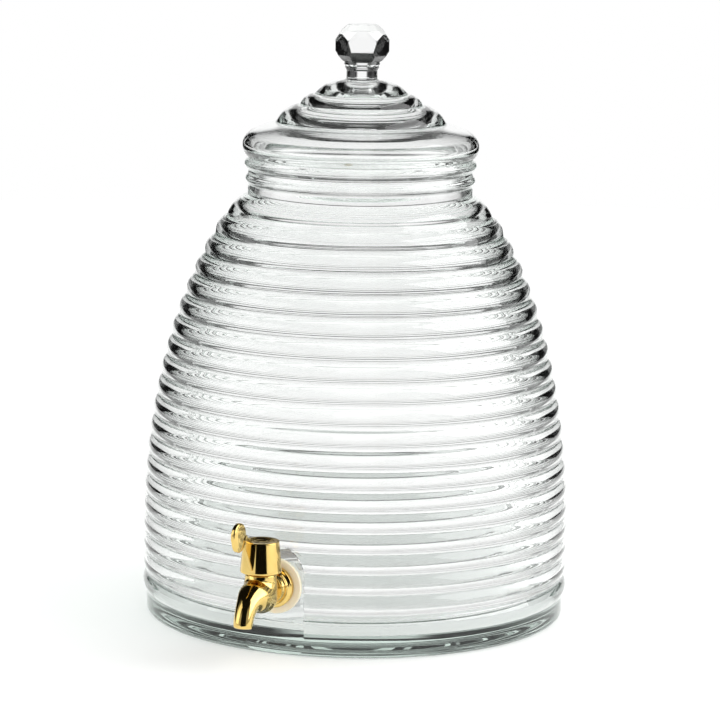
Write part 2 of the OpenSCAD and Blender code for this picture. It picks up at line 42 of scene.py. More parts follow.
# Viewpoint: the photographer stood a little to the right of the tap and looked slightly down on
# the jar through a long lens, with the camera held a touch out of level.
view_turn, view_pitch, view_roll = math.radians(21), math.radians(9.673), math.radians(0.88)
view_distance, view_height, view_reach = 2.2, 0.54, 50
lens_mm, sensor_mm, shift_right, shift_up = 167, 36, 0.0035, 0.0091
lens_data = bpy.data.cameras.new("viewpoint")
lens_data.lens, lens_data.sensor_width = lens_mm, sensor_mm
lens_data.shift_x, lens_data.shift_y = shift_right, shift_up
lens_data.clip_end = view_reach
viewpoint = bpy.data.objects.new("viewpoint", lens_data)
stand_at = (view_distance * math.sin(view_turn), -view_distance * math.cos(view_turn), view_height)
viewpoint.matrix_world = (
    Matrix.Translation(stand_at)
    @ Matrix.Rotation(view_turn, 4, "Z")
    @ Matrix.Rotation(math.pi / 2 - view_pitch, 4, "X")
    @ Matrix.Rotation(view_roll, 4, "Z"))
scene.collection.objects.link(viewpoint)
scene.camera = viewpoint

# Jar: a beehive jar of clear soda-lime glass, blown into a ribbed mould, so its outside has even
# ribs and its inside only a trace of them. A flat pad is pressed into the wall for the tap, the
# hole is drilled, and the rim and base are fire polished. It stands on the ring of its base.
mm = 0.001
belly_r, belly_z, shoulder_r, crown_r = 140, 60, 88, 8
band_h, rib_pitch, rib_count, rib_depth = 14.5, 13.3, 19, 2.2
jar_wall, floor_z, floor_corner_r = 5, 14, 14
heel_r, punt_r, punt_h, punt_slope_w = 4, 112, 3, 9
shoulder_h, neck_r, neck_h, rim_round = 13.5, 74.5, 24.5, 1.5
bead_r, bead_fits = 3.1, ((1.6, 14), (2.4, 4))
pad_w, pad_depth, pad_draft, pad_arch_up, tap_z, tap_hole_r = 39, 1.4, 1.6, 6.5, 45.5, 8.75
jar_sides, jar_sharp = 224, 64
shoulder_z = band_h + rib_pitch * rib_count
neck_z = shoulder_z + shoulder_h
rim_z = neck_z + neck_h
mouth_r = neck_r - jar_wall
pad_plane = belly_r - pad_depth
hive_h = (shoulder_z - belly_z) / math.sqrt(1 - ((shoulder_r - crown_r) / (belly_r - crown_r)) ** 2)


def srgb(code):
    """Linear colour of an sRGB hex value."""
    parts = [int(code[i:i + 2], 16) / 255 for i in (1, 3, 5)]
    return tuple(c / 12.92 if c <= 0.04045 else ((c + 0.055) / 1.055) ** 2.4 for c in parts) + (1.0,)


def add_node(tree, kind, inputs=None, **settings):
    """Add a node with its settings, and set or link its inputs."""
    node = tree.nodes.new(kind)
    for name, value in settings.items():
        setattr(node, name, value)
    for name, value in (inputs or {}).items():
        if isinstance(value, bpy.types.NodeSocket):
            tree.links.new(value, node.inputs[name])
        else:
            node.inputs[name].default_value = value
    return node


def new_finish(name):
    """Empty material with its node tree and the output node."""
    finish = bpy.data.materials.new(name)
    finish.use_nodes = True
    finish.node_tree.nodes.clear()
    return finish, finish.node_tree, add_node(finish.node_tree, "ShaderNodeOutputMaterial")


def clear_glass(name, index, tint, ripple_mm, ripple_height_mm):
    """Clear glass whose colour shows only where it is thick, with faint ripples in its skin."""
    finish, tree, out = new_finish(name)
    place = add_node(tree, "ShaderNodeTexCoord")
    ripple = add_node(tree, "ShaderNodeTexNoise", {
        "Vector": place.outputs["Object"], "Scale": 1 / (ripple_mm * mm), "Detail": 1.0})
    relief = add_node(tree, "ShaderNodeBump", {
        "Height": ripple.outputs["Fac"], "Strength": 1.0, "Distance": ripple_height_mm * mm})
    glass = add_node(tree, "ShaderNodeBsdfPrincipled", {
        "Base Color": srgb("#FFFFFF"), "Roughness": 0.0, "IOR": index, "Transmission Weight": 1.0,
        "Normal": relief.outputs["Normal"]})
    light = add_node(tree, "ShaderNodeLightPath")
    veil = add_node(tree, "ShaderNodeBsdfTransparent", {"Color": srgb("#F3F5F4")})
    both = add_node(tree, "ShaderNodeMixShader", {
        0: light.outputs["Is Shadow Ray"], 1: glass.outputs["BSDF"], 2: veil.outputs["BSDF"]})
    body = add_node(tree, "ShaderNodeVolumeAbsorption", {"Color": srgb(tint), "Density": 6.0})
    tree.links.new(both.outputs["Shader"], out.inputs["Surface"])
    tree.links.new(body.outputs["Volume"], out.inputs["Volume"])
    return finish


# Soda-lime glass: colourless across the wall, bottle green through the floor and the heel, and
# so smooth from the flame that only slow ripples bend what is seen through it.
soda_glass = clear_glass("soda-lime glass", index=1.52, tint="#CBD8D2", ripple_mm=34,
                         ripple_height_mm=0.004)

# Light goes to and fro many times inside the thick floor and the cut knob before it comes out.
glass_bounces, mirror_bounces = 32, 24
scene.cycles.max_bounces = scene.cycles.transmission_bounces = glass_bounces
scene.cycles.glossy_bounces = mirror_bounces


def arc(centre, r, start, end, n):
    """Points along a circular arc, angles in degrees."""
    turns = [math.radians(start + (end - start) * i / n) for i in range(n + 1)]
    return [(centre[0] + r * math.cos(a), centre[1] + r * math.sin(a)) for a in turns]


def bulged(a, b, rise, n):
    """Points from a to b along a low arch that stands out to the right of the way from a to b."""
    run, climb = b[0] - a[0], b[1] - a[1]
    chord = math.hypot(run, climb)
    shares = [i / n for i in range(n + 1)]
    lifts = [4 * rise * f * (1 - f) / chord for f in shares]
    return [(a[0] + run * f + climb * h, a[1] + climb * f - run * h) for f, h in zip(shares, lifts)]


def resampled(points, step):
    """The same line with its long stretches divided into steps."""
    line = [points[0]]
    for a, b in zip(points, points[1:]):
        n = max(1, math.ceil(math.dist(a, b) / step - 1e-6))
        line += [(a[0] + (b[0] - a[0]) * i / n, a[1] + (b[1] - a[1]) * i / n) for i in range(1, n + 1)]
    return line


def melted(points, passes):
    """The same line with its corners run soft, as molten glass does; its ends stay."""
    for _ in range(passes):
        points = [points[0]] + [
            tuple((p + 2 * q + r) / 4 for p, q, r in zip(*three))
            for three in zip(points, points[1:], points[2:])] + [points[-1]]
    return points


def hive_r(z):
    """Radius at the grooves: straight up to the belly, then a quarter ellipse to the shoulder."""
    return belly_r if z <= belly_z else (
        crown_r + (belly_r - crown_r) * math.sqrt(1 - ((z - belly_z) / hive_h) ** 2))


def new_tree(name, inputs):
    """Geometry Nodes tree with its named inputs, ready to draw one piece."""
    tree = bpy.data.node_groups.new(name, "GeometryNodeTree")
    for label, kind in inputs.items():
        tree.interface.new_socket(name=label, in_out="INPUT", socket_type="NodeSocket" + kind)
    tree.interface.new_socket(name="Piece", in_out="OUTPUT", socket_type="NodeSocketGeometry")
    return tree, add_node(tree, "NodeGroupInput").outputs


def end_tree(tree, skin, finish):
    """Make what the tree draws real, give it its finish and hand it out."""
    real_skin = add_node(tree, "GeometryNodeRealizeInstances", {"Geometry": skin})
    finished = add_node(tree, "GeometryNodeSetMaterial", {
        "Geometry": real_skin.outputs[0], "Material": finish})
    add_node(tree, "NodeGroupOutput", {0: finished.outputs[0]})


# Tree that turns an outline about the jar's axis and, where the outline says so, raises the ribs
# on it first: each rib is an arch from groove to groove, square to the wall, and the grooves are
# filled a little, as molten glass does not run into the last corner of its mould.
groove_fill, path_r, seam_gap, weld = 0.26, 0.01, 1e-6, 1e-7
turning, given = new_tree("turned piece", {
    "Outline": "Geometry", "Segments": "Int", "Rib foot": "Float", "Rib pitch": "Float",
    "Rib depth": "Float", "Finish": "Material"})
outline_curve = add_node(turning, "GeometryNodeMeshToCurve", {"Mesh": given["Outline"]})
spot = add_node(turning, "GeometryNodeInputPosition")
at = add_node(turning, "ShaderNodeSeparateXYZ", {0: spot.outputs[0]}).outputs
tangent = add_node(turning, "GeometryNodeInputTangent")
along = add_node(turning, "ShaderNodeSeparateXYZ", {0: tangent.outputs[0]}).outputs
sums = {}
for name, operation, *terms in (
        ("above", "SUBTRACT", at["Z"], given["Rib foot"]),
        ("counted", "DIVIDE", "above", given["Rib pitch"]), ("share", "FRACT", "counted"),
        ("rest", "SUBTRACT", 1.0, "share"), ("arch", "MULTIPLY", "share", "rest"),
        ("full_arch", "MULTIPLY", "arch", 4.0),
        ("filled", "SMOOTH_MAX", "full_arch", groove_fill, groove_fill),
        ("inward", "MULTIPLY", along["X"], -1.0), ("down", "MULTIPLY", at["Z"], -1.0),
        ("from_path", "SUBTRACT", at["X"], path_r)):
    sums[name] = add_node(turning, "ShaderNodeMath", {
        i: sums[term] if isinstance(term, str) else term for i, term in enumerate(terms)},
        operation=operation).outputs[0]
soft_arch = add_node(turning, "ShaderNodeMapRange", {"Value": sums["filled"], "From Min": groove_fill})
ribbed = add_node(turning, "GeometryNodeInputNamedAttribute", {"Name": "rib_share"}, data_type="FLOAT")
wanted = add_node(turning, "ShaderNodeMath", {
    0: soft_arch.outputs[0], 1: ribbed.outputs["Attribute"]}, operation="MULTIPLY")
lift = add_node(turning, "ShaderNodeMath", {
    0: wanted.outputs[0], 1: given["Rib depth"]}, operation="MULTIPLY")
square_to = add_node(turning, "ShaderNodeCombineXYZ", {"X": along["Z"], "Z": sums["inward"]})
raised = add_node(turning, "ShaderNodeVectorMath", {
    0: square_to.outputs[0], "Scale": lift.outputs[0]}, operation="SCALE")
rib_line = add_node(turning, "GeometryNodeSetPosition", {
    "Geometry": outline_curve.outputs[0], "Offset": raised.outputs[0]})
section_at = add_node(turning, "ShaderNodeCombineXYZ", {"X": sums["from_path"], "Y": sums["down"]})
section = add_node(turning, "GeometryNodeSetPosition", {
    "Geometry": rib_line.outputs[0], "Position": section_at.outputs[0]})
ring = add_node(turning, "GeometryNodeCurvePrimitiveCircle", {
    "Resolution": given["Segments"], "Radius": path_r})
skin = add_node(turning, "GeometryNodeCurveToMesh", {
    "Curve": ring.outputs[0], "Profile Curve": section.outputs[0]})
closed_skin = add_node(turning, "GeometryNodeMergeByDistance", {
    "Geometry": skin.outputs[0], "Distance": seam_gap})
end_tree(turning, closed_skin.outputs[0], given["Finish"])


def settle(piece, sharp_deg):
    """Turn what the modifiers make into the piece's plain mesh, faces outwards and shading smooth."""
    graph = bpy.context.evaluated_depsgraph_get()
    mesh = bpy.data.meshes.new_from_object(piece.evaluated_get(graph), depsgraph=graph)
    piece.modifiers.clear()
    old, piece.data = piece.data, mesh
    bpy.data.meshes.remove(old)
    shape = bmesh.new()
    shape.from_mesh(mesh)
    bmesh.ops.remove_doubles(shape, verts=shape.verts, dist=weld)
    bmesh.ops.dissolve_degenerate(shape, edges=shape.edges, dist=weld)
    bmesh.ops.recalc_face_normals(shape, faces=shape.faces)
    shape.to_mesh(mesh)
    shape.free()
    mesh.shade_smooth()
    mesh.set_sharp_from_angle(angle=math.radians(sharp_deg))
    return piece


def new_piece(name, points, edges, faces):
    """Object of loose points in millimetres, at the origin."""
    mesh = bpy.data.meshes.new(name)
    mesh.from_pydata([tuple(c * mm for c in p) for p in points], edges, faces)
    piece = bpy.data.objects.new(name, mesh)
    scene.collection.objects.link(piece)
    return piece


def run_tree(piece, tree, sharp_deg=30, **sizes):
    """Give the piece a tree, set the tree's inputs by their identifiers, and settle the result."""
    modifier = piece.modifiers.new(tree.name, "NODES")
    modifier.node_group = tree
    for item in tree.interface.items_tree:
        value = sizes.get(item.name.lower().replace(" ", "_"))
        if item.in_out == "INPUT" and value is not None:
            modifier[item.identifier] = value
    return settle(piece, sharp_deg)


def turn(name, outline, finish, segments=96, closed=False, rib_shares=None, sharp_deg=30, place=None):
    """Piece turned from an outline of (radius, height) in millimetres, then set in its place."""
    n = len(outline)
    edges = [(i, i + 1) for i in range(n - 1)] + ([(n - 1, 0)] if closed else [])
    piece = new_piece(name, [(r, 0, z) for r, z in outline], edges, [])
    marks = piece.data.attributes.new("rib_share", "FLOAT", "POINT")
    marks.data.foreach_set("value", rib_shares or [0.0] * n)
    run_tree(piece, turning, sharp_deg, segments=segments, finish=finish, rib_foot=band_h * mm,
             rib_pitch=rib_pitch * mm, rib_depth=rib_depth * mm)
    if place:
        piece.data.transform(place)
    return piece


def join(piece, tool, operation, finish, sharp_deg=30):
    """Cut the tool out of the piece, or fuse it on, and drop the tool."""
    step = piece.modifiers.new("join", "BOOLEAN")
    step.object, step.operation, step.solver = tool, operation, "MANIFOLD"
    settle(piece, sharp_deg)
    bpy.data.objects.remove(tool)
    piece.data.materials.clear()
    piece.data.materials.append(finish)
    return piece


def prism(name, near, far):
    """Solid between two like rings of points in millimetres."""
    n = len(near)
    faces = [(i, (i + 1) % n, n + (i + 1) % n, n + i) for i in range(n)]
    faces += [tuple(range(n)), tuple(range(2 * n - 1, n - 1, -1))]
    return settle(new_piece(name, near + far, [], faces), 30)


jar_line, jar_shares = [], []


def draw_jar(points, share=0.0):
    """Go on with the jar's outline; share is how much of the ribs' depth these points take."""
    jar_line.extend(points)
    jar_shares.extend([share] * len(points))


row_step, run_soft, bead_step, bead_soft, floor_step = 4, 3, 1.0, 2, 20
band_rows, bead_top, bend_drop = (7.5, 11), 70, 1
row_shares = (0, 0.04, 0.09, 0.17, 0.28, 0.42, 0.58, 0.72, 0.83, 0.91, 0.96)
grooves = [(hive_r(band_h + rib_pitch * k), band_h + rib_pitch * k) for k in range(rib_count + 1)]
punt = melted(resampled([(0, punt_h), (punt_r - punt_slope_w, punt_h), (punt_r, 0),
                         (belly_r - heel_r, 0)], row_step), run_soft)
draw_jar(punt[:-1] + arc((belly_r - heel_r, heel_r), heel_r, -90, 0, 8))
draw_jar([(belly_r, z) for z in band_rows])
for low, high in zip(grooves, grooves[1:]):
    draw_jar([tuple(a + (b - a) * f for a, b in zip(low, high)) for f in row_shares], 1.0)
draw_jar(bulged(grooves[-1], (neck_r, neck_z), rib_depth, 10))
neck_line = [(neck_r, neck_z)]
for out, drop in bead_fits:
    reach = math.degrees(math.acos((bead_r - out) / bead_r))
    neck_line += arc((neck_r + out - bead_r, rim_z - drop), bead_r, -reach, min(reach, bead_top), 12)
neck_line += arc((neck_r - rim_round, rim_z - rim_round), rim_round, 35, 90, 4)
draw_jar(melted(resampled(neck_line, bead_step), bead_soft)[1:])
lip_line = arc((mouth_r + rim_round, rim_z - rim_round), rim_round, 90, 180, 4)
bend_line = melted(resampled([(mouth_r, rim_z - rim_round), (mouth_r, neck_z - bend_drop),
                              (shoulder_r - jar_wall, shoulder_z)], row_step), run_soft)
draw_jar(lip_line + bend_line[1:])

# The inside bulges in a little behind each rib, and up to twice as far near the shoulder.
inner_trace, inner_rows, deep_h = 0.25, 6, 80
inner_top, inner_foot = shoulder_z, floor_z + floor_corner_r
rows = round((inner_top - inner_foot) / rib_pitch * inner_rows)
for i in range(1, rows):
    z = inner_top + (inner_foot - inner_top) * i / rows
    draw_jar([(hive_r(z) - jar_wall, z)], inner_trace * (1 + max(0.0, 1 - (inner_top - z) / deep_h)))
corner = arc((belly_r - jar_wall - floor_corner_r, inner_foot), floor_corner_r, 0, -90, 8)
draw_jar(corner + resampled([corner[-1], (0, floor_z)], floor_step)[1:])
glass_jar = turn("ribbed_jar", jar_line, soda_glass, jar_sides, rib_shares=jar_shares, sharp_deg=jar_sharp)


def pad_outline(foot, depth, spread=0.0):
    """The tap pad's outline on a plane along -Y, straight sides under a round arch."""
    half = pad_w / 2 + spread
    line = [(-half, foot), (half, foot)] + arc((0, tap_z + pad_arch_up), half, 0, 180, 40)
    return [(x, -depth, z) for x, z in line]


# Place for pieces on the tap's axis: their +Z points out of the pad, their +Y up.
at_tap = Matrix.Translation((0, -pad_plane * mm, tap_z * mm)) @ Matrix.Rotation(math.pi / 2, 4, "X")
inside_pad = pad_plane - jar_wall
pad_bite, pad_clear, hole_reach, flat_play = 0.5, 12, 20, 0.01
back_foot, face_foot = floor_z - 1, -5
join(glass_jar, prism("pad_back", pad_outline(back_foot, inside_pad),
                      pad_outline(back_foot, pad_plane - pad_bite)), "UNION", soda_glass, jar_sharp)
join(glass_jar, prism("pad_face", pad_outline(face_foot, pad_plane),
                      pad_outline(face_foot, pad_plane + pad_clear, pad_draft)),
     "DIFFERENCE", soda_glass, jar_sharp)
tap_hole = turn("tap_hole", [(0, -hole_reach), (tap_hole_r, -hole_reach), (tap_hole_r, hole_reach),
                             (0, hole_reach)], soda_glass, 72, place=at_tap)
join(glass_jar, tap_hole, "DIFFERENCE", soda_glass, jar_sharp)
# The pad's flats keep keen edges where they meet the wall.
shape = bmesh.new()
shape.from_mesh(glass_jar.data)
flats = {face for face in shape.faces for plane in (pad_plane, inside_pad)
         if all(abs(vert.co.y + plane * mm) < flat_play * mm for vert in face.verts)}
for line in shape.edges:
    if sum(face in flats for face in line.link_faces) == 1:
        line.smooth = False
shape.to_mesh(glass_jar.data)
shape.free()
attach(glass_jar, "jar")
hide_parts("glass_jar")

# Lid: a hollow dome of the same glass with a rolled rim and three ring steps, blown in a mould.
# It rests on the jar's rim, and a ring under it drops into the neck and keeps it in the middle.
lid_r, lid_foot_r, lid_rim_h = 78.3, 73, 8.8
lid_steps = ((56, 23.5, 2.7), (40.5, 35, 2.0), (31, 42, 2.4))
lid_crown_h, lid_crown_r, crown_t, inner_crown_r = 51.5, 11.4, 6.5, 10.2
lid_wall, lid_plug_r, lid_plug_h, plug_edge, plug_soft = 4.5, 67.5, 9, 1, 0.3
rim_full, dome_rise_full, dome_run_full, dome_slope, dome_lean = 0.55, 0.46, 0.54, 0.2, 53
seat_gap, inner_rise = 0.05, -0.2
lid_sides, lid_sharp, lid_row, inner_row, crown_row = 192, 75, 0.8, 1.2, 3


def curve(a, b, c, d, n=14):
    """Points along a cubic curve."""
    shares = [i / n for i in range(n + 1)]
    return [tuple(p * (1 - t) ** 3 + 3 * q * (1 - t) ** 2 * t + 3 * r * (1 - t) * t * t + s * t ** 3
                  for p, q, r, s in zip(a, b, c, d)) for t in shares]


def dome(rim, step):
    """The dome's sweep from the lid's widest point up to its first ring step."""
    rise, run = step[1] - rim[1], rim[0] - step[0]
    return curve(rim, (rim[0], rim[1] + dome_rise_full * rise),
                 (step[0] + dome_run_full * run, step[1] - dome_slope * dome_run_full * run), step)


lid_rim = (lid_r, lid_rim_h)
step_points = [s[:2] for s in lid_steps] + [(lid_crown_r, lid_crown_h)]
lid_line = curve((lid_foot_r, 0), (lid_foot_r + rim_full * (lid_r - lid_foot_r), 0),
                 (lid_r, (1 - rim_full) * lid_rim_h), lid_rim)
lid_line += dome(lid_rim, step_points[0])[1:]
for (low, high), (_, _, rise) in zip(zip(step_points, step_points[1:]), lid_steps):
    lid_line += bulged(low, high, rise, 12)[1:]
lid_line += resampled([lid_line[-1], (0, lid_crown_h)], crown_row)[1:]
inner_rim = (lid_r - lid_wall, lid_rim_h)
lean = math.radians(dome_lean)
inner_steps = [(r - lid_wall * math.cos(lean), z - lid_wall * math.sin(lean)) for r, z, _ in lid_steps]
ceiling = lid_crown_h - crown_t
ring_r = lid_plug_r - lid_wall
inner_line = [(ring_r, plug_edge - lid_plug_h), (ring_r, lid_wall - rim_round)]
inner_line += curve((ring_r + rim_round, lid_wall), (inner_rim[0] - rim_round, lid_wall),
                    (inner_rim[0], lid_wall + rim_round), inner_rim, 8)
inner_line += dome(inner_rim, inner_steps[0])[1:]
inner_points = inner_steps + [(inner_crown_r, ceiling)]
for (low, high), (_, _, rise) in zip(zip(inner_points, inner_points[1:]), lid_steps):
    inner_line += bulged(low, high, inner_rise * rise, 10)[1:]
inner_line = melted(resampled(inner_line + [(0, ceiling)], inner_row), run_soft)
soft_edge = ((0, plug_edge), (plug_soft, plug_soft), (plug_edge, 0))
plug_line = [(ring_r + out, up - lid_plug_h) for out, up in soft_edge]
plug_line += [(lid_plug_r - out, up - lid_plug_h) for out, up in soft_edge[::-1]]
plug_line += [(lid_plug_r + out, -up) for out, up in soft_edge]
lid_line = melted(resampled(lid_line, lid_row), 1)
whole_lid = [(r, z + rim_z + seat_gap) for r, z in inner_line[::-1] + plug_line[1:] + lid_line]
lid = turn("domed_lid", whole_lid, soda_glass, lid_sides, sharp_deg=lid_sharp)
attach(lid, "lid")
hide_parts("lid")

# Knob: a ball of crystal cut with flat facets on a turned stem, ground flat under its foot and
# bonded to the lid's crown. The facets are ground and polished by hand, with edges left keen.
stem_r, stem_h, stem_lip = 10.2, 10.8, 1.2
ball_h, ball_half_w, ball_turn, keen_edge = 25.5, 15.2, view_turn, 0.22
# Rings of facets: how many, how far round the first one is, their tilt upwards, whether every second
# one tilts downwards instead, and the distance of their planes from the ball's middle.
facet_rings = ((6, 0, 10, True, ball_half_w), (6, 30, 32.2, False, 16.5), (12, 0, 48, False, 15.95),
               (6, 0, -38, False, 15.8), (12, 15, -58, False, 16.1))
knob_z = rim_z + lid_crown_h + 2 * seat_gap

# Cut crystal: heavier and whiter than the jar's glass, so its facets throw light and dark hard.
crystal = clear_glass("cut crystal", index=1.54, tint="#F2F5F4", ripple_mm=20, ripple_height_mm=0.002)
lip_r = stem_r + stem_lip
stem_line = [(0, 0), (lip_r - 0.2, 0), (lip_r, 0.2)] + arc((lip_r, stem_lip), stem_lip, 270, 180, 6)[1:]
stem_line += [(stem_r, stem_h - 4 * stem_lip), (lip_r - 0.3, stem_h - 2.6 * stem_lip),
              (lip_r, stem_h - 2 * stem_lip), (stem_r + 0.6 * stem_lip, stem_h - 1.5 * stem_lip),
              (lip_r + 0.4, stem_h - 0.5), (lip_r, stem_h + 1), (0, stem_h + 1)]
lid_knob = turn("cut_knob", [(r, z + knob_z) for r, z in stem_line], crystal, sharp_deg=40)
ball_middle = Vector((0, 0, (knob_z + stem_h + ball_h / 2) * mm))
cuts = [(Vector((0, 0, 1)), ball_h / 2), (Vector((0, 0, -1)), ball_h / 2)]
for count, first, tilt, swaps, distance in facet_rings:
    for k in range(count):
        a = ball_turn + math.radians(first + 360 * k / count)
        t = math.radians(-tilt if swaps and k % 2 else tilt)
        way = (math.sin(a) * math.cos(t), -math.cos(a) * math.cos(t), math.sin(t))
        cuts.append((Vector(way), distance))
ball = new_piece("ball", [], [], [])
shape = bmesh.new()
bmesh.ops.create_cube(shape, size=2 * ball_h * mm, matrix=Matrix.Translation(ball_middle))
for way, distance in cuts:
    cut = bmesh.ops.bisect_plane(
        shape, geom=shape.verts[:] + shape.edges[:] + shape.faces[:], dist=weld,
        plane_co=ball_middle + way * distance * mm, plane_no=way, clear_outer=True)
    rim_lines = [part for part in cut["geom_cut"] if isinstance(part, bmesh.types.BMEdge)]
    if rim_lines:
        bmesh.ops.contextual_create(shape, geom=rim_lines)
bmesh.ops.bevel(shape, geom=shape.edges[:], offset=keen_edge * mm, segments=1, affect="EDGES", profile=0.5)
shape.to_mesh(ball.data)
shape.free()
settle(ball, 5)
join(lid_knob, ball, "UNION", crystal, 5)
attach(lid_knob, "lid")
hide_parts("lid_knob")

# Washers: two soft rings cut from moulded silicone, one on each side of the glass, which the
# nut squeezes flat so that no drink gets past the shank.
washer_t, outer_washer_r, inner_washer_r, washer_hole_r = 3, 18, 14, 8.3
washer_edge, washer_gap = 0.45, 0.04


def worked_finish(name, low, high, cloud, inputs, grain=None, strength=0.3, depth_mm=0.02, gloss=None):
    """Finish whose tone drifts from low to high in clouds, with a fine grain in its relief.

    cloud and grain are each a size in millimetres and a fineness, and the grain may be the cloud's own;
    gloss, where given, is a range of roughness that follows the clouds.
    """
    finish, tree, out = new_finish(name)
    place = add_node(tree, "ShaderNodeTexCoord")
    drift, pits = (add_node(tree, "ShaderNodeTexNoise", {
        "Vector": place.outputs["Object"], "Scale": 1 / (size * mm), "Detail": fineness})
        for size, fineness in (cloud, grain or cloud))
    tone = add_node(tree, "ShaderNodeValToRGB", {"Fac": drift.outputs["Fac"]})
    tone.color_ramp.elements[0].color, tone.color_ramp.elements[1].color = srgb(low), srgb(high)
    relief = add_node(tree, "ShaderNodeBump", {
        "Height": pits.outputs["Fac"], "Strength": strength, "Distance": depth_mm * mm})
    surface = add_node(tree, "ShaderNodeBsdfPrincipled", {
        "Base Color": tone.outputs["Color"], "Normal": relief.outputs["Normal"], **inputs})
    if gloss:
        rough = add_node(tree, "ShaderNodeMapRange", {
            "Value": drift.outputs["Fac"], "To Min": gloss[0], "To Max": gloss[1]})
        tree.links.new(rough.outputs["Result"], surface.inputs["Roughness"])
    tree.links.new(surface.outputs["BSDF"], out.inputs["Surface"])
    return finish


# Silicone: cream, slightly clouded, soft in its highlights, with light passing through the edges.
silicone = worked_finish("moulded silicone", "#F2E4C8", "#FAF1DE", cloud=(6, 3.0), grain=(0.5, 2.0),
                         inputs={
                             "Roughness": 0.45, "IOR": 1.41, "Subsurface Weight": 0.5,
                             "Subsurface Radius": (1.0, 0.8, 0.6), "Subsurface Scale": 1.5 * mm})
for name, node, washer_r, foot in (
        ("outer_washer_ring", "outer_washer", outer_washer_r, washer_gap),
        ("inner_washer_ring", "inner_washer", inner_washer_r, -jar_wall - washer_t - washer_gap)):
    e = washer_edge
    ring_line = [(washer_hole_r, e), (washer_hole_r + e, 0)] + arc((washer_r - e, e), e, -90, 0, 5)
    ring_line += arc((washer_r - e, washer_t - e), e, 0, 90, 5)
    ring_line += [(washer_hole_r + e, washer_t), (washer_hole_r, washer_t - e)]
    washer = turn(name, [(r, z + foot) for r, z in ring_line], silicone, closed=True, sharp_deg=50,
                  place=at_tap)
    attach(washer, "jar")
    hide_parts(node)

# Lock nut: a hexagon nut moulded in natural white plastic, run up the shank by hand from inside
# the jar against the inner washer.
nut_corners, nut_t, nut_bore_r, nut_gap, cut_past = 28, 8, 8.06, 0.08, 2
nut_chamfer, bore_mouth = ((-0.8, 0), (-0.2, 0.35), (0.6, 0.9)), ((1, -1), (0.5, 0), (0, 0.6))
nut_foot = -jar_wall - washer_t - nut_t - nut_gap


def spool(r, ends, h):
    """Outline of a round bar whose two ends are worked alike, from points of (out, in)."""
    line = [(0, ends[0][1])] + [(r + out, up) for out, up in ends]
    return line + [(x, h - z) for x, z in line[::-1]]


# Polypropylene: milky white, waxy, with the fine spark-eroded grain of its mould.
nut_plastic = worked_finish("natural polypropylene", "#DEDDD7", "#F0F0EC", cloud=(0.4, 3.0),
                            strength=0.4, inputs={
                                "Roughness": 0.4, "IOR": 1.49, "Subsurface Weight": 0.3,
                                "Subsurface Radius": (1.0, 1.0, 0.9), "Subsurface Scale": 1.2 * mm})
half = nut_corners / 2
lock_nut = turn("lock_nut_hex", spool(half, nut_chamfer, nut_t), nut_plastic)
hex_points = [(half * math.cos(math.pi / 3 * k), half * math.sin(math.pi / 3 * k)) for k in range(6)]
hex_bar = prism("hex_bar", [(x, y, -cut_past) for x, y in hex_points],
                [(x, y, nut_t + cut_past) for x, y in hex_points])
join(lock_nut, hex_bar, "INTERSECT", nut_plastic)
nut_bore = turn("nut_bore", spool(nut_bore_r, bore_mouth, nut_t), nut_plastic, 72)
join(lock_nut, nut_bore, "DIFFERENCE", nut_plastic)
lock_nut.data.transform(at_tap @ Matrix.Translation((0, 0, nut_foot * mm)))
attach(lock_nut, "jar")
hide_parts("lock_nut")

# Tap body: one brass casting with its barrel, curved spout, flange and hollow threaded shank,
# smoothed on a wheel, polished bright and plated with gold. The nut holds it in the jar's wall.
tap_reach, barrel_r, barrel_up, barrel_down = 25.2, 10.8, 13.7, 13
collar_r, collar_h, edge, overlap, cast_grain, cast_passes = 10.1, 5.8, 0.6, 1, 0.3, 200
spout_rise, spout_tip_r, spout_wall = -0.2, 6.1, 1.4
spout_run, spout_bend_r, spout_bend, spout_tail = 11.5, 16.5, 80, 2.9
# How thick the spout is, by the length gone along it.
horn_line = ((0, 11), (8, 10.8), (12, 10.2), (16, 9.0), (20, 7.7), (24, 6.9), (29, 6.4), (40, 6.1))
shank_r, shank_end, waterway_r, port_r, bore_r, bonnet_bore_r = 8, -20, 4, 3.5, 6.5, 8.05
flange_r, flange_back, flange_t, flange_edge_h, neck_ring_r, neck_step = 13.6, 3, 5, 2, 11, 2
flange_gap, flange_lip, neck_bite, neck_ease = 0.05, 1.1, 2, 0.5
barrel_y = -pad_plane - tap_reach
barrel_top = tap_z + barrel_up
collar_z = barrel_top - collar_h
bore_floor, bonnet_z = 37.1, 52.9

# Gold plate: a mirror with the casting's last polishing marks just showing as a fine haze.
gold_plate = worked_finish("polished gold plate", "#D8B768", "#E6CA80", cloud=(5, 4.0), grain=(2.5, 2.0),
                           inputs={"Metallic": 1.0}, gloss=(0.06, 0.11))

# Tree that sweeps a round bar along a path whose points each say how thick the bar is there.
sweeping, given = new_tree("swept bar", {"Path": "Geometry", "Sides": "Int", "Finish": "Material"})
path_curve = add_node(sweeping, "GeometryNodeMeshToCurve", {"Mesh": given["Path"]})
thick = add_node(sweeping, "GeometryNodeInputNamedAttribute", {"Name": "bar_r"}, data_type="FLOAT")
round_bar = add_node(sweeping, "GeometryNodeCurvePrimitiveCircle", {
    "Resolution": given["Sides"], "Radius": 1.0})
skin = add_node(sweeping, "GeometryNodeCurveToMesh", {
    "Curve": path_curve.outputs[0], "Profile Curve": round_bar.outputs[0],
    "Scale": thick.outputs["Attribute"], "Fill Caps": True})
end_tree(sweeping, skin.outputs[0], given["Finish"])


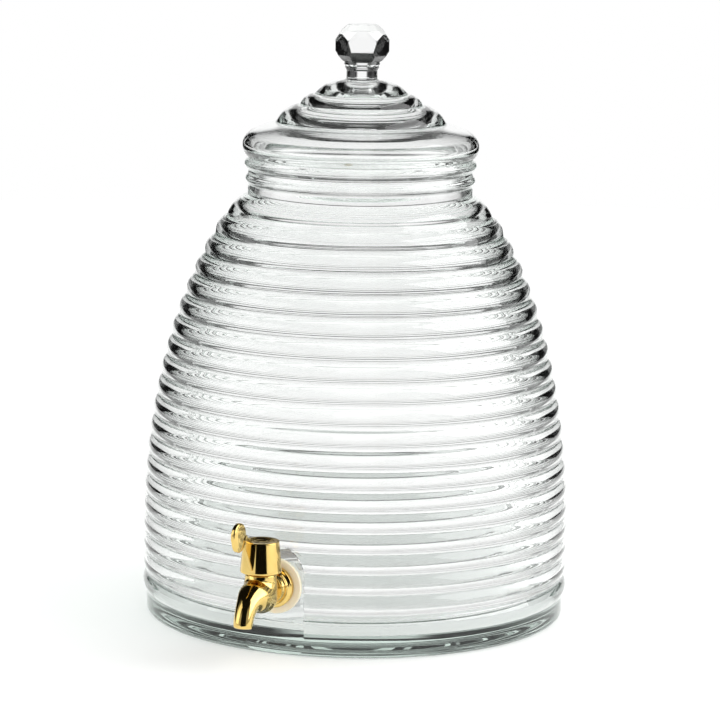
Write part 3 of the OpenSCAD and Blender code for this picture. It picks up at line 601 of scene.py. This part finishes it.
def sweep(name, path, radii, finish, sides=48):
    """Bar along points of (x, y, z) in millimetres, with a radius for each."""
    piece = new_piece(name, path, [(i, i + 1) for i in range(len(path) - 1)], [])
    thickness = piece.data.attributes.new("bar_r", "FLOAT", "POINT")
    thickness.data.foreach_set("value", [r * mm for r in radii])
    return run_tree(piece, sweeping, 40, sides=sides, finish=finish)


def fuse(piece, others, grain_mm, passes, finish):
    """Run several solids into one skin with soft inner corners, as a casting and its polishing do."""
    for other in others:
        join(piece, other, "UNION", finish)
    cast = piece.modifiers.new("cast", "REMESH")
    cast.mode, cast.voxel_size, cast.adaptivity = "VOXEL", grain_mm * mm, 0.0
    wheel = piece.modifiers.new("wheel", "SMOOTH")
    wheel.factor, wheel.iterations = 0.5, passes
    settle(piece, 60)
    piece.data.materials.clear()
    piece.data.materials.append(finish)
    return piece


# Place for pieces turned about the barrel's axis.
at_barrel = Matrix.Translation((0, barrel_y * mm, 0))
barrel_line = arc((0, tap_z - barrel_down + barrel_r), barrel_r, -90, 0, 24)
barrel_line += [(barrel_r, collar_z - edge), (collar_r, collar_z + edge), (collar_r, barrel_top),
                (0, barrel_top)]
tap_body = turn("tap_casting", barrel_line, gold_plate, place=at_barrel)
spout_z = tap_z + spout_rise
bend = arc((spout_run, spout_z - spout_bend_r), spout_bend_r, 90, 90 - spout_bend, 24)
last = math.radians(spout_bend)
spout_flat = [(spout_run * i / 8, spout_z) for i in range(8)] + bend
spout_flat += [(bend[-1][0] + spout_tail * f * math.cos(last),
                bend[-1][1] - spout_tail * f * math.sin(last)) for f in (0.35, 0.7, 1.0)]
spout_path = [(0, barrel_y - u, z) for u, z in spout_flat]
ends = len(spout_path) - 1
spout_radii, gone = [], 0.0
for a, b in zip(spout_flat, spout_flat[1:] + spout_flat[-1:]):
    (g0, r0), (g1, r1) = next(pair for pair in zip(horn_line, horn_line[1:]) if pair[1][0] >= gone)
    spout_radii.append(r0 + (r1 - r0) * (gone - g0) / (g1 - g0))
    gone += math.dist(a, b)
spout = sweep("spout", spout_path, spout_radii, gold_plate)
flange_front = flange_back + flange_t
neck = turn("neck", [(0, flange_front - neck_bite), (neck_ring_r - edge, flange_front - neck_bite),
                     (neck_ring_r - edge, flange_front + neck_step - neck_ease),
                     (neck_ring_r - neck_step, flange_front + 2 * neck_step - neck_ease),
                     (neck_ring_r - neck_step, tap_reach), (0, tap_reach)], gold_plate, place=at_tap)
fuse(tap_body, (spout, neck), cast_grain, cast_passes, gold_plate)
flange_seat = flange_back + flange_gap
flange_line = [(0, flange_seat), (flange_r - edge, flange_seat)]
flange_line += arc((flange_r - edge, flange_seat + edge), edge, -90, 0, 5)[1:]
flange_line += curve((flange_r, flange_back + flange_edge_h), (flange_r, flange_front),
                     (neck_ring_r + neck_step / 2, flange_front - neck_step),
                     (neck_ring_r, flange_front), 16)
flange_line += [(neck_ring_r, flange_front + edge), (neck_ring_r - edge / 2, flange_front + flange_lip),
                (0, flange_front + flange_lip)]
join(tap_body, turn("flange", flange_line, gold_plate, 128, place=at_tap), "UNION", gold_plate)

# Tree that winds a screw thread: a six-sided ridge along a spiral.
threading, given = new_tree("screw thread", {
    "Base": "Geometry", "Core radius": "Float", "Pitch": "Float", "Turns": "Float", "Ridge": "Float",
    "Finish": "Material"})
length = add_node(threading, "ShaderNodeMath", {0: given["Pitch"], 1: given["Turns"]}, operation="MULTIPLY")
spiral = add_node(threading, "GeometryNodeCurveSpiral", {
    "Resolution": 40, "Rotations": given["Turns"], "Start Radius": given["Core radius"],
    "End Radius": given["Core radius"], "Height": length.outputs[0]})
ridge = add_node(threading, "GeometryNodeCurvePrimitiveCircle", {"Resolution": 6, "Radius": given["Ridge"]})
skin = add_node(threading, "GeometryNodeCurveToMesh", {
    "Curve": spiral.outputs[0], "Profile Curve": ridge.outputs[0], "Fill Caps": True})
end_tree(threading, skin.outputs[0], given["Finish"])
thread_pitch, thread_depth, thread_turns, thread_out = 1.5, 0.55, 9, 0.4
shank_ease, plain_shank = 0.5, -3.6
core_r = shank_r - thread_depth
thread_foot = shank_end + overlap
shank_line = [(0, shank_end), (core_r - shank_ease, shank_end), (core_r, shank_end + shank_ease),
              (core_r, thread_foot + thread_pitch * thread_turns + thread_out), (shank_r, plain_shank),
              (shank_r, flange_back + overlap), (0, flange_back + overlap)]
shank = turn("shank", shank_line, gold_plate)
thread = run_tree(new_piece("thread", [(0, 0, 0)], [], []), threading, 60, core_radius=core_r * mm,
                  pitch=thread_pitch * mm, turns=float(thread_turns), ridge=thread_depth * mm,
                  finish=gold_plate)
thread.data.transform(Matrix.Translation((0, 0, thread_foot * mm)))
join(shank, thread, "UNION", gold_plate)
shank.data.transform(at_tap)
join(tap_body, shank, "UNION", gold_plate)
outlet = spout_path[-1]
outlet_way = (0, outlet[1] - math.cos(last), outlet[2] - math.sin(last))
outlet_r = spout_tip_r - spout_wall
spout_bore = sweep("spout_bore", spout_path + [outlet_way],
                   [port_r + (outlet_r - port_r) * i / ends for i in range(ends + 1)] + [outlet_r],
                   gold_plate, 32)
valve_bore = turn("valve_bore", [(0, bore_floor), (bore_r, bore_floor), (bore_r, bonnet_z),
                                 (bonnet_bore_r, bonnet_z), (bonnet_bore_r, barrel_top + overlap),
                                 (0, barrel_top + overlap)], gold_plate, 72, place=at_barrel)
waterway = turn("waterway", [(0, shank_end - overlap), (waterway_r, shank_end - overlap),
                             (waterway_r, tap_reach), (0, tap_reach)], gold_plate, 48, place=at_tap)
for way in (spout_bore, valve_bore, waterway):
    join(tap_body, way, "DIFFERENCE", gold_plate, 40)
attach(tap_body, "jar")
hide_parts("tap_body")

# Valve: a turned brass plug with a cross port, sealed by two rubber rings and held down by a
# bonnet over a slip ring; a steel screw ties the handle to it. Only a strip of it ever shows.

# Turned brass with tool marks, black nitrile rubber, white acetal and zinc-plated steel.
for nodes, name, dark, pale, grain_mm, inputs in (
        (("valve_plug", "bonnet"), "turned brass", "#B58A45", "#CFA45A", 0.6,
         {"Metallic": 1.0, "Roughness": 0.28}),
        (("upper_o_ring", "lower_o_ring"), "nitrile rubber", "#141414", "#1E1E1E", 0.4,
         {"Roughness": 0.55, "IOR": 1.52}),
        (("slip_ring",), "white acetal", "#E6E6E2", "#F2F2EF", 0.5, {"Roughness": 0.35, "IOR": 1.48}),
        (("handle_screw",), "zinc-plated steel", "#A9ACB0", "#C4C7CA", 0.5,
         {"Metallic": 1.0, "Roughness": 0.3})):
    finish = worked_finish(name, dark, pale, cloud=(grain_mm, 3.0), inputs=inputs, depth_mm=0.01)
    for node in nodes:
        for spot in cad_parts[node].material_slots:
            spot.material = finish

# Handle: a hollow cap with a web and a thumb paddle in one casting, polished and gold plated like
# the body. Its hub fits the plug's square drive, and the screw under the button holds it on.
handle_z, handle_h, handle_r, handle_top_r = 59.5, 20.1, 13.2, 11.5
skirt_r, hub_z, drive_hole_w, drive_top = 11.4, 63.4, 5.3, 71.7
screw_hole_r, screw_seat, screw_room_r, button_seat, button_r = 1.8, 74.4, 6.3, 77.0, 7.8
lever_turn, paddle_reach, paddle_up = 5, 30.5, 27.5
paddle_w, paddle_foot_w, paddle_h, paddle_t, sides = 15.5, 12.4, 18.6, 4.4, 72
web_t, web_root, web_foot, web_drop, web_bite = 2.2, 2.5, 3.2, 2.2, 0.2
web_under, web_over = (6.5, 7.4), (6.2, 2.2)
hub_ease, rim_ease, button_play, drive_room, lever_grain, lever_passes = 0.4, 0.3, 0.1, 0.3, 0.22, 6
handle_top = handle_z + handle_h
paddle_z = handle_z + paddle_up
button_hole_r = button_r + button_play
cap_line = [(screw_hole_r, hub_z), (skirt_r - hub_ease, hub_z), (skirt_r, hub_z - hub_ease),
            (skirt_r, handle_z + rim_ease), (skirt_r + rim_ease, handle_z), (handle_r - edge, handle_z)]
cap_line += arc((handle_r - edge, handle_z + edge), edge, -90, 0, 5)[1:]
cap_line += arc((handle_top_r - edge, handle_top - edge), edge, 0, 90, 6)
cap_line += [(button_hole_r + hub_ease, handle_top), (button_hole_r, handle_top - rim_ease),
             (button_hole_r, button_seat), (screw_room_r, button_seat), (screw_room_r, screw_seat),
             (screw_hole_r, screw_seat)]
tap_handle = turn("lever_handle", resampled(cap_line + cap_line[:1], 1)[:-1], gold_plate, 144, closed=True)
drive_half = drive_hole_w / 2
drive_points = [(x * drive_half, y * drive_half) for x, y in ((-1, -1), (1, -1), (1, 1), (-1, 1))]
drive_hole = prism("drive_hole", [(x, y, hub_z - overlap) for x, y in drive_points],
                   [(x, y, drive_top + drive_room) for x, y in drive_points])
join(tap_handle, drive_hole, "DIFFERENCE", gold_plate)
root_u = handle_top_r - web_root
web_line = [(root_u, handle_z + web_foot), (handle_r - web_bite, handle_z + web_foot),
            (paddle_reach - web_under[0], paddle_z - web_under[1]), (paddle_reach, paddle_z),
            (paddle_reach - web_over[0], paddle_z + web_over[1]), (root_u, handle_top - web_drop)]
web = prism("web", [(u, -web_t / 2, z) for u, z in web_line], [(u, web_t / 2, z) for u, z in web_line])
# The paddle's half section: how far out of its outline and how much of its thickness.
paddle_section = ((0.0, 1.0), (0.3, 0.985), (0.55, 0.93), (0.75, 0.84), (0.88, 0.74), (0.95, 0.65),
                  (0.985, 0.52), (1.0, 0.36))
paddle_rings = []
ends_at = (((paddle_h - paddle_w) / 2, paddle_w / 2), ((paddle_foot_w - paddle_h) / 2, paddle_foot_w / 2))
for out_share, thick_share in paddle_section + tuple((s, -t) for s, t in paddle_section[::-1]):
    for k in range(sides if out_share else 1):
        a = 2 * math.pi * k / sides
        high, r = max(ends_at, key=lambda end: end[0] * math.sin(a) + end[1])
        paddle_rings.append((paddle_reach + out_share * r * math.cos(a), thick_share * paddle_t / 2,
                             paddle_z + out_share * (high + r * math.sin(a))))
rings = 2 * len(paddle_section) - 2
faces = [(0, 1 + k, 1 + (k + 1) % sides) for k in range(sides)]
for i in range(rings - 1):
    a, b = 1 + i * sides, 1 + (i + 1) * sides
    faces += [(a + k, b + k, b + (k + 1) % sides, a + (k + 1) % sides) for k in range(sides)]
tip = 1 + rings * sides
faces += [(tip, tip - sides + (k + 1) % sides, tip - sides + k) for k in range(sides)]
paddle = settle(new_piece("paddle", paddle_rings, [], faces), 60)
lever = fuse(web, (paddle,), lever_grain, lever_passes, gold_plate)
lever.data.transform(Matrix.Rotation(math.radians(-90 - lever_turn), 4, "Z"))
join(tap_handle, lever, "UNION", gold_plate)
tap_handle.data.transform(at_barrel)
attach(tap_handle, "handle")
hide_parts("tap_handle")

# Button: a turned disc with two raised rings, gold plated, pressed into the handle's top so that
# it covers the screw.
button_t, ring_w, groove_w = 2.2, 0.95, 2.2
button_gap, foot_soft, ring_soft, ring_dip = 0.05, 0.3, 0.2, 0.15
low, dip = button_t - edge, button_t - ring_dip
button_out = button_r - button_gap
ring_in = button_r - ring_w
inner_out = ring_in - groove_w
inner_in = inner_out - ring_w
button_line = [(0, button_gap), (button_r - foot_soft, button_gap), (button_out, foot_soft),
               (button_out, button_t - ring_soft), (button_out - ring_soft, button_t),
               (ring_in + ring_soft, button_t), (ring_in, dip), (ring_in - edge, low),
               (inner_out + edge, low), (inner_out, dip), (inner_out - ring_soft, button_t),
               (inner_in + ring_soft, button_t), (inner_in, dip), (inner_in - edge, low), (0, low)]
handle_button = turn("handle_cap_button", [(r, z + button_seat) for r, z in button_line], gold_plate, 96,
                     place=at_barrel)
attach(handle_button, "handle")
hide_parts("handle_button")

# Studio: the jar stands on a round sheet of white paper with lit white walls around it, dark gaps
# between the walls and a dark ceiling, which draw the edges of the glass and the shapes of the gold.
floor_gap, card_gap, sheet_r, dark_paint_from, dark_paint_full = 0.2, 0.1, 2300, 0.62, 0.85

# Paper: white and matt, with one glow for the eye and one for mirrors and glass. Off a cross of strips
# through the jar, glass sees its four corners painted black, and mirrors only the two behind: painted dark
# reflections on paper that stays white to the eye.
paper, tree, out = new_finish("white paper sweep")
light = add_node(tree, "ShaderNodeLightPath")
spot = add_node(tree, "ShaderNodeTexCoord")
away = add_node(tree, "ShaderNodeVectorMath", {0: spot.outputs["Object"]}, operation="LENGTH")
squared = add_node(tree, "ShaderNodeVectorRotate", {
    "Vector": spot.outputs["Object"], "Angle": -view_turn}, rotation_type="Z_AXIS")
both_ways = add_node(tree, "ShaderNodeVectorMath", {0: squared.outputs[0]}, operation="ABSOLUTE")
across = add_node(tree, "ShaderNodeSeparateXYZ", {0: both_ways.outputs[0]})
behind = add_node(tree, "ShaderNodeSeparateXYZ", {0: squared.outputs[0]})
depth = add_node(tree, "ShaderNodeMix", {
    0: light.outputs["Is Transmission Ray"], 2: behind.outputs["Y"], 3: across.outputs["Y"]},
    data_type="FLOAT")
off_strips = add_node(tree, "ShaderNodeMath", {
    0: across.outputs["X"], 1: depth.outputs[0]}, operation="MINIMUM")
dark_paint_edge = add_node(tree, "ShaderNodeMapRange", {
    "Value": off_strips.outputs[0], "From Min": dark_paint_from, "From Max": dark_paint_full},
    interpolation_type="SMOOTHSTEP")
seen = add_node(tree, "ShaderNodeMath", {
    0: light.outputs["Is Glossy Ray"], 1: light.outputs["Is Transmission Ray"]}, operation="MAXIMUM")
painted_dark_share = add_node(tree, "ShaderNodeMath", {
    0: seen.outputs[0], 1: dark_paint_edge.outputs[0]}, operation="MULTIPLY")
# Each glow changes between two distances in metres, from its first strength to its second. For mirrors and
# glass this is painted light on the paper close round the jar and painted shade from about half a metre
# out, which lifts towards the sheet's edge.
near_glow, far_glow, eye_glow = (add_node(tree, "ShaderNodeMapRange", {
    "Value": away.outputs["Value"], "From Min": start, "From Max": end, "To Min": first, "To Max": second})
    for start, end, first, second in (
        (0.3, 0.55, 0.26, 0.05), (0.7, 2.1, 0.0, 0.40), (0.4, 2.0, 0.11, 0.40)))
painted_glass_light = add_node(tree, "ShaderNodeMath", {
    0: near_glow.outputs[0], 1: far_glow.outputs[0]}, operation="ADD")
glows = [add_node(tree, "ShaderNodeMath", {0: rays, 1: glow.outputs[0]}, operation="MULTIPLY").outputs[0]
         for rays, glow in ((light.outputs["Is Camera Ray"], eye_glow), (seen.outputs[0], painted_glass_light))]
lit = add_node(tree, "ShaderNodeMath", {0: glows[0], 1: glows[1]}, operation="MAXIMUM")
paper_colour = add_node(tree, "ShaderNodeBsdfDiffuse", {"Color": srgb("#E7E8E7")})
paper_glow = add_node(tree, "ShaderNodeEmission", {"Color": srgb("#FFFFFF"), "Strength": lit.outputs[0]})
paper_sum = add_node(tree, "ShaderNodeAddShader", {0: paper_colour.outputs[0], 1: paper_glow.outputs[0]})
# Painted dark reflection: black that only glass and mirrors see on the white paper.
painted_dark_colour = add_node(tree, "ShaderNodeBsdfDiffuse", {"Color": srgb("#0A0A0A")})
sweep_face = add_node(tree, "ShaderNodeMixShader", {
    0: painted_dark_share.outputs[0], 1: paper_sum.outputs[0], 2: painted_dark_colour.outputs[0]})
tree.links.new(sweep_face.outputs[0], out.inputs["Surface"])
sheet_line = arc((0, 0), sheet_r, 0, 360, 96)[:-1]
floor = new_piece("paper_floor", [(x, y, -floor_gap) for x, y in sheet_line], [],
                  [tuple(range(len(sheet_line)))])
floor.data.materials.append(paper)

# Card: black and matt, in front of the jar, where only mirrors see it: a painted dark reflection in the
# gold and the glass, with nothing there for the eye.
black_card, tree, out = new_finish("black card")
card_face = add_node(tree, "ShaderNodeBsdfDiffuse", {"Color": srgb("#0A0A0A")})
tree.links.new(card_face.outputs[0], out.inputs["Surface"])
card_near, card_far, card_half, card_spread = 520, 2300, 260, 5
card = new_piece("front_card", [
    (-card_half, -card_near, -card_gap), (card_half, -card_near, -card_gap),
    (card_spread * card_half, -card_far, -card_gap), (-card_spread * card_half, -card_far, -card_gap)],
    [], [(0, 1, 2, 3)])
card.data.transform(Matrix.Rotation(view_turn, 4, "Z"))
card.data.materials.append(black_card)
card.visible_camera = card.visible_diffuse = card.visible_transmission = card.visible_shadow = False

# Room: white to the eye. Glass sees four narrow lit walls with dark gaps and a dark ceiling; mirrors
# see them taller, with half-lit sides and nothing in front.
room = bpy.data.worlds.new("white studio")
scene.world = room
room.use_nodes = True
tree = room.node_tree
tree.nodes.clear()
ambient, gap_level, side_share = 0.80, 0.006, 0.5
light = add_node(tree, "ShaderNodeLightPath")
way = add_node(tree, "ShaderNodeTexCoord").outputs["Generated"]
flat_way = add_node(tree, "ShaderNodeVectorMath", {0: way, 1: (1.0, 1.0, 0.0)}, operation="MULTIPLY")
unit_way = add_node(tree, "ShaderNodeVectorMath", {0: flat_way.outputs[0]}, operation="NORMALIZE")
to_front = (math.sin(view_turn), -math.cos(view_turn), 0.0)
facing = add_node(tree, "ShaderNodeVectorMath", {
    0: unit_way.outputs[0], 1: to_front}, operation="DOT_PRODUCT")
height = add_node(tree, "ShaderNodeSeparateXYZ", {0: way})
turned = add_node(tree, "ShaderNodeMath", {0: facing.outputs["Value"]}, operation="ARCCOSINE")
four_turns = add_node(tree, "ShaderNodeMath", {0: turned.outputs[0], 1: 4.0}, operation="MULTIPLY")
wave = add_node(tree, "ShaderNodeMath", {0: four_turns.outputs[0]}, operation="COSINE")

# Soft edges of the lit parts: what each one follows, and the degrees where it is lit and dark.
parts = {}
for name, value, measure, lit_deg, dark_deg in (
        ("wall", wave.outputs[0], math.cos, 4 * 9, 4 * 16),
        ("wall_top", height.outputs["Z"], math.sin, 13, 20),
        ("mirror_top", height.outputs["Z"], math.sin, 20, 30),
        ("side_back", facing.outputs["Value"], math.cos, 100, 116),
        ("side_top", height.outputs["Z"], math.sin, 25, 45),
        ("side_front", facing.outputs["Value"], math.cos, 35, 28)):
    parts[name] = add_node(tree, "ShaderNodeMapRange", {
        "Value": value, "From Min": measure(math.radians(dark_deg)),
        "From Max": measure(math.radians(lit_deg))}, interpolation_type="SMOOTHSTEP").outputs[0]
parts["side_share"] = side_share
for name, operation, first, second in (
        ("walls", "MULTIPLY", "wall", "wall_top"), ("high_walls", "MULTIPLY", "wall", "mirror_top"),
        ("side_edge", "MULTIPLY", "side_back", "side_top"),
        ("side_level", "MULTIPLY", "side_edge", "side_share"),
        ("lit_sides", "MAXIMUM", "side_level", "high_walls"),
        ("sides", "MULTIPLY", "side_front", "lit_sides")):
    parts[name] = add_node(tree, "ShaderNodeMath", {
        0: parts[first], 1: parts[second]}, operation=operation).outputs[0]
around = add_node(tree, "ShaderNodeMix", {
    0: light.outputs["Is Transmission Ray"], 2: parts["sides"], 3: parts["walls"]}, data_type="FLOAT")
dim = add_node(tree, "ShaderNodeMath", {0: around.outputs[0], 1: gap_level}, operation="MAXIMUM")
seen = add_node(tree, "ShaderNodeMath", {
    0: light.outputs["Is Glossy Ray"], 1: light.outputs["Is Transmission Ray"]}, operation="MAXIMUM")
studio = add_node(tree, "ShaderNodeMix", {
    0: seen.outputs[0], 2: ambient, 3: dim.outputs[0]}, data_type="FLOAT")
level = add_node(tree, "ShaderNodeMath", {
    0: studio.outputs[0], 1: light.outputs["Is Camera Ray"]}, operation="MAXIMUM")
wall = add_node(tree, "ShaderNodeBackground", {"Color": srgb("#FFFFFF"), "Strength": level.outputs[0]})
add_node(tree, "ShaderNodeOutputWorld", {"Surface": wall.outputs[0]})

# Softboxes: degrees round from the camera, distance, height, the face's width and height in metres,
# watts, and whether mirrors see it. All look at the jar's middle, and glass never sees them.
jar_middle = Vector((0, 0, 0.2))
for name, turn_deg, distance, lamp_z, wide, tall, power, mirrored in (
        ("left_softbox", -67, 1.5, 0.75, 0.9, 1.4, 5.0, True),
        ("right_softbox", 80, 1.5, 1.05, 1.8, 1.9, 30.0, True),
        ("top_light", 150, 0.5, 1.9, 1.6, 1.6, 6.0, False)):
    lamp_data = bpy.data.lights.new(name, "AREA")
    lamp_data.shape, lamp_data.size, lamp_data.size_y, lamp_data.energy = "RECTANGLE", wide, tall, power
    lamp = bpy.data.objects.new(name, lamp_data)
    a = view_turn + math.radians(turn_deg)
    spot = Vector((distance * math.sin(a), -distance * math.cos(a), lamp_z))
    aim = (jar_middle - spot).to_track_quat("-Z", "Y")
    lamp.matrix_world = Matrix.Translation(spot) @ aim.to_matrix().to_4x4()
    lamp.visible_camera = lamp.visible_transmission = False
    lamp.visible_glossy = mirrored
    scene.collection.objects.link(lamp)
